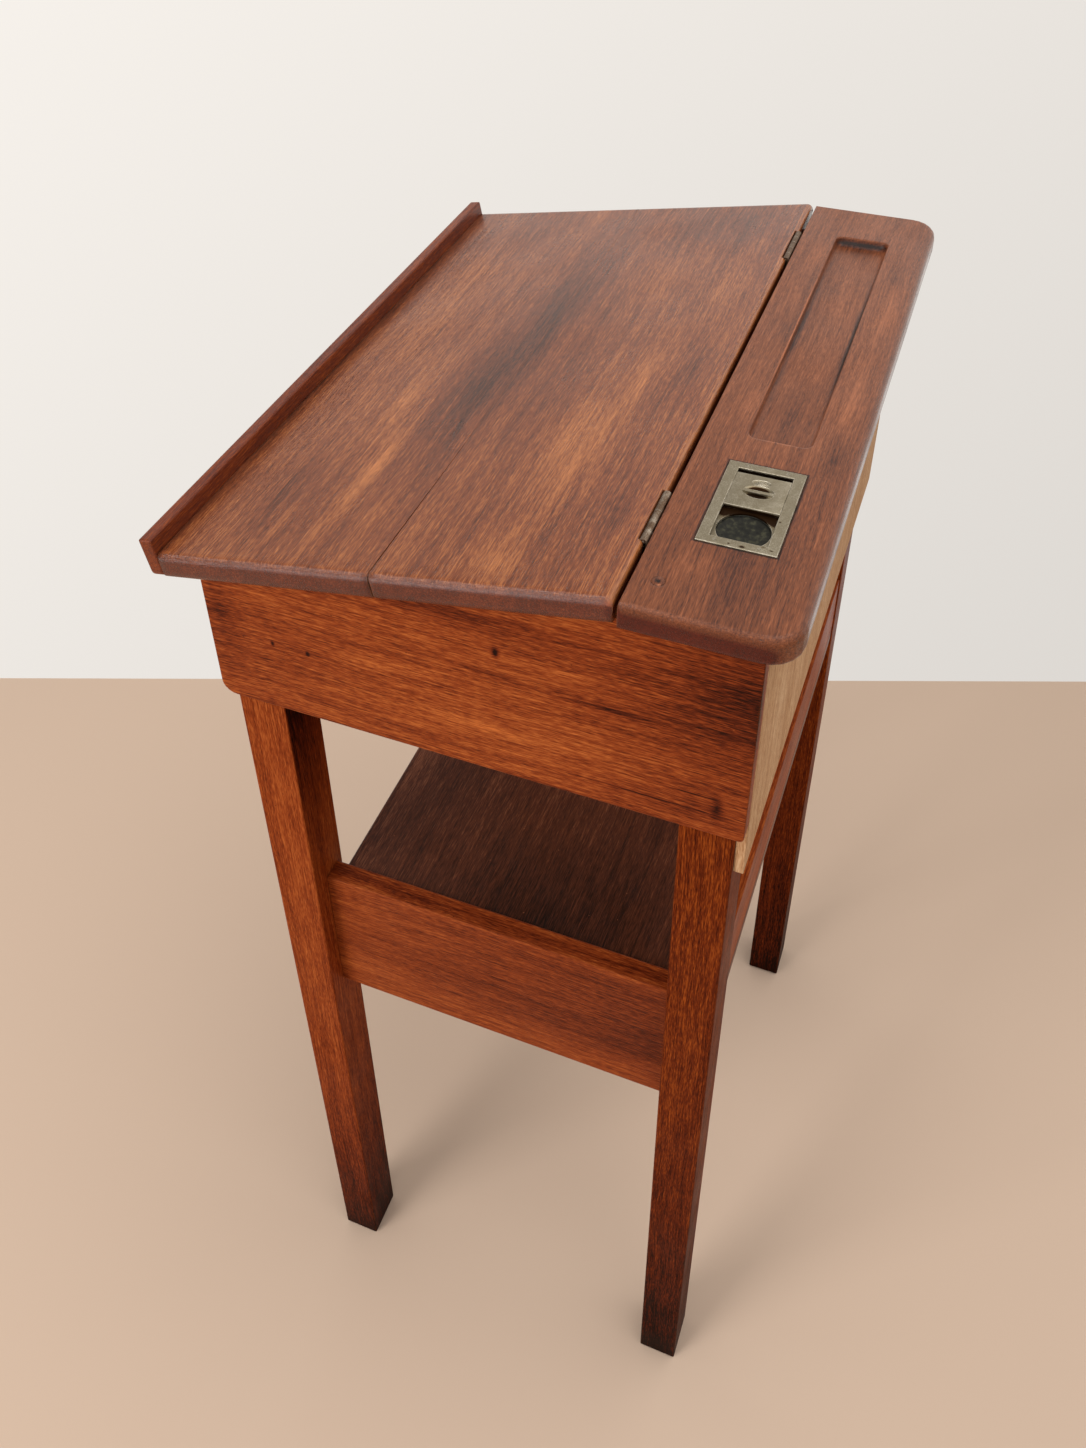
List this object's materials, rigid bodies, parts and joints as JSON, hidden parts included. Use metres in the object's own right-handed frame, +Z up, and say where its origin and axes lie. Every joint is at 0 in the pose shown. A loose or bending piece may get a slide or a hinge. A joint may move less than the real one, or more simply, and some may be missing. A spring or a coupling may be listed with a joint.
{
  "type": "high writing desk",
  "caption": "High wooden writing desk on straight legs, with a hinged sloping lid and book ledge, a pen board with groove and sliding inkwell cover, and a low shelf.",
  "frame": {"origin": "on the floor, under the middle of the desk's bounding box", "axes": "+Z up, +X to the right of the person who writes at the desk (the inkwell's end), +Y away from that person, towards the pen board"},
  "size_m": [0.614, 0.4846, 1.147],
  "materials": {
    "stained_wood": "red-brown stained mahogany under worn wax polish",
    "top_wood": "mid-brown mahogany, rubbed and worn polish",
    "shelf_wood": "dark brown stained, dull",
    "bare_wood": "unfinished, weathered and dry",
    "hinge_steel": "dark, worn and lightly rusted steel",
    "plate_brass": "cast, tarnished to a grey-green",
    "pot_stoneware": "glazed stoneware, dark with dried ink"
  },
  "bodies": {
    "stand": {"leg_front_left": "stained_wood", "leg_front_right": "stained_wood", "leg_back_left": "stained_wood", "leg_back_right": "stained_wood", "stretcher_left": "stained_wood", "stretcher_right": "stained_wood", "side_panel_left": "stained_wood", "side_panel_right": "stained_wood", "front_panel": "stained_wood", "back_panel": "bare_wood", "box_floor": "bare_wood", "floor_cleat_left": "stained_wood", "floor_cleat_right": "stained_wood", "shelf": "shelf_wood", "shelf_cleat_left": "stained_wood", "shelf_cleat_right": "stained_wood", "back_rail": "stained_wood", "pen_board": "top_wood", "screw_plug": "top_wood", "hinge_left_board_leaf": "hinge_steel", "hinge_left_pin": "hinge_steel", "hinge_right_board_leaf": "hinge_steel", "hinge_right_pin": "hinge_steel", "inkwell_frame": "plate_brass", "inkwell_base": "plate_brass", "ink_pot": "pot_stoneware", "rivet_far_front": "plate_brass", "rivet_far_back": "plate_brass", "rivet_near_front": "plate_brass", "rivet_near_back": "plate_brass"},
    "lid": {"lid_rear_plank": "top_wood", "lid_front_plank": "top_wood", "book_ledge": "top_wood", "hinge_left_lid_leaf": "hinge_steel", "hinge_right_lid_leaf": "hinge_steel"},
    "well_cover": {"inkwell_cover": "plate_brass"}
  },
  "joints": [
    {"name": "lid_hinge", "type": "hinge", "parent": "stand", "child": "lid", "pos_m": [0, 0.12275, 1.1438], "axis": [-1, 0, 0], "range_deg": [0, 101]},
    {"name": "cover_slide", "type": "slide", "parent": "stand", "child": "well_cover", "axis": [1, 0, 0], "range_m": [-0.0045, 0.0367]}
  ]
}
